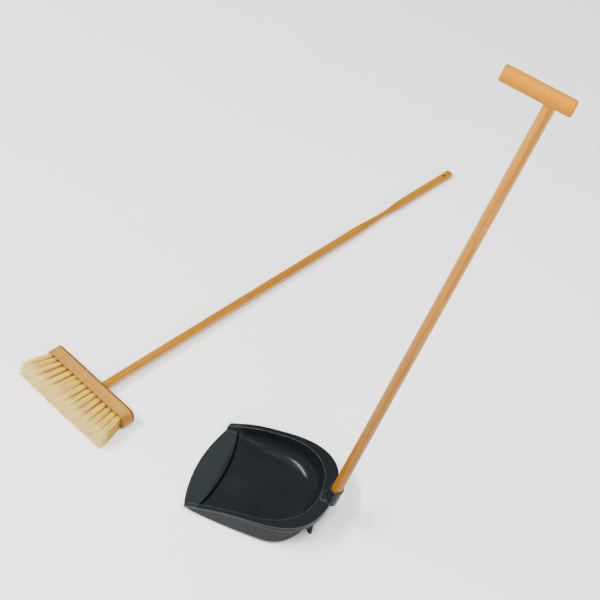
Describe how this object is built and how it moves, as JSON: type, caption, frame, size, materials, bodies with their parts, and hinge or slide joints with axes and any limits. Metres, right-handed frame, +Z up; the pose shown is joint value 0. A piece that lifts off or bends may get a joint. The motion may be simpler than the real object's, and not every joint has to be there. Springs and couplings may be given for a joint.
{
  "type": "long-handled dust pan and broom set",
  "caption": "Upright dust pan with a plastic bowl, wooden stick and T-grip, and a wooden long-handled broom with straw-coloured bristles lying beside it.",
  "frame": {"origin": "middle of the dust pan's flat base, on the floor", "axes": "+Z up; the pan's mouth faces -Y and its handle stands at +Y; X runs across the pan; the broom lies on the floor towards -X and -Y"},
  "size_m": [0.9788, 0.7917, 1.0486],
  "materials": {
    "pan_plastic": "moulded satin charcoal plastic, fine texture",
    "pan_handle_wood": "clear-lacquered golden straight-grained dowel",
    "grip_wood": "clear-lacquered golden turned wood",
    "broom_handle_wood": "glossy clear-lacquered golden wood",
    "block_wood": "satin pale pinkish-tan beech",
    "back_board_wood": "satin darker brown wood strip",
    "steel": "zinc-plated steel",
    "bristle": "matt cream straw-coloured fibre"
  },
  "bodies": {
    "pan": {"pan_shell": "pan_plastic", "pan_handle": "pan_handle_wood", "pan_grip": "grip_wood", "pan_grip_pin": "steel", "pan_socket_screw": "steel"},
    "broom": {"broom_block": "block_wood", "broom_back_board": "back_board_wood", "broom_handle": "broom_handle_wood", "broom_handle_screw": "steel", "tuft_row_1": "bristle", "tuft_row_2": "bristle", "tuft_row_3": "bristle", "tuft_row_4": "bristle", "tuft_row_5": "bristle", "tuft_anchors_row_1": "steel", "tuft_anchors_row_2": "steel", "tuft_anchors_row_3": "steel", "tuft_anchors_row_4": "steel", "tuft_anchors_row_5": "steel"}
  },
  "joints": [
    {"name": "broom_lift", "type": "slide", "parent": "pan", "child": "broom", "axis": [0, 0, 1], "range_m": [0, 0.3]}
  ]
}
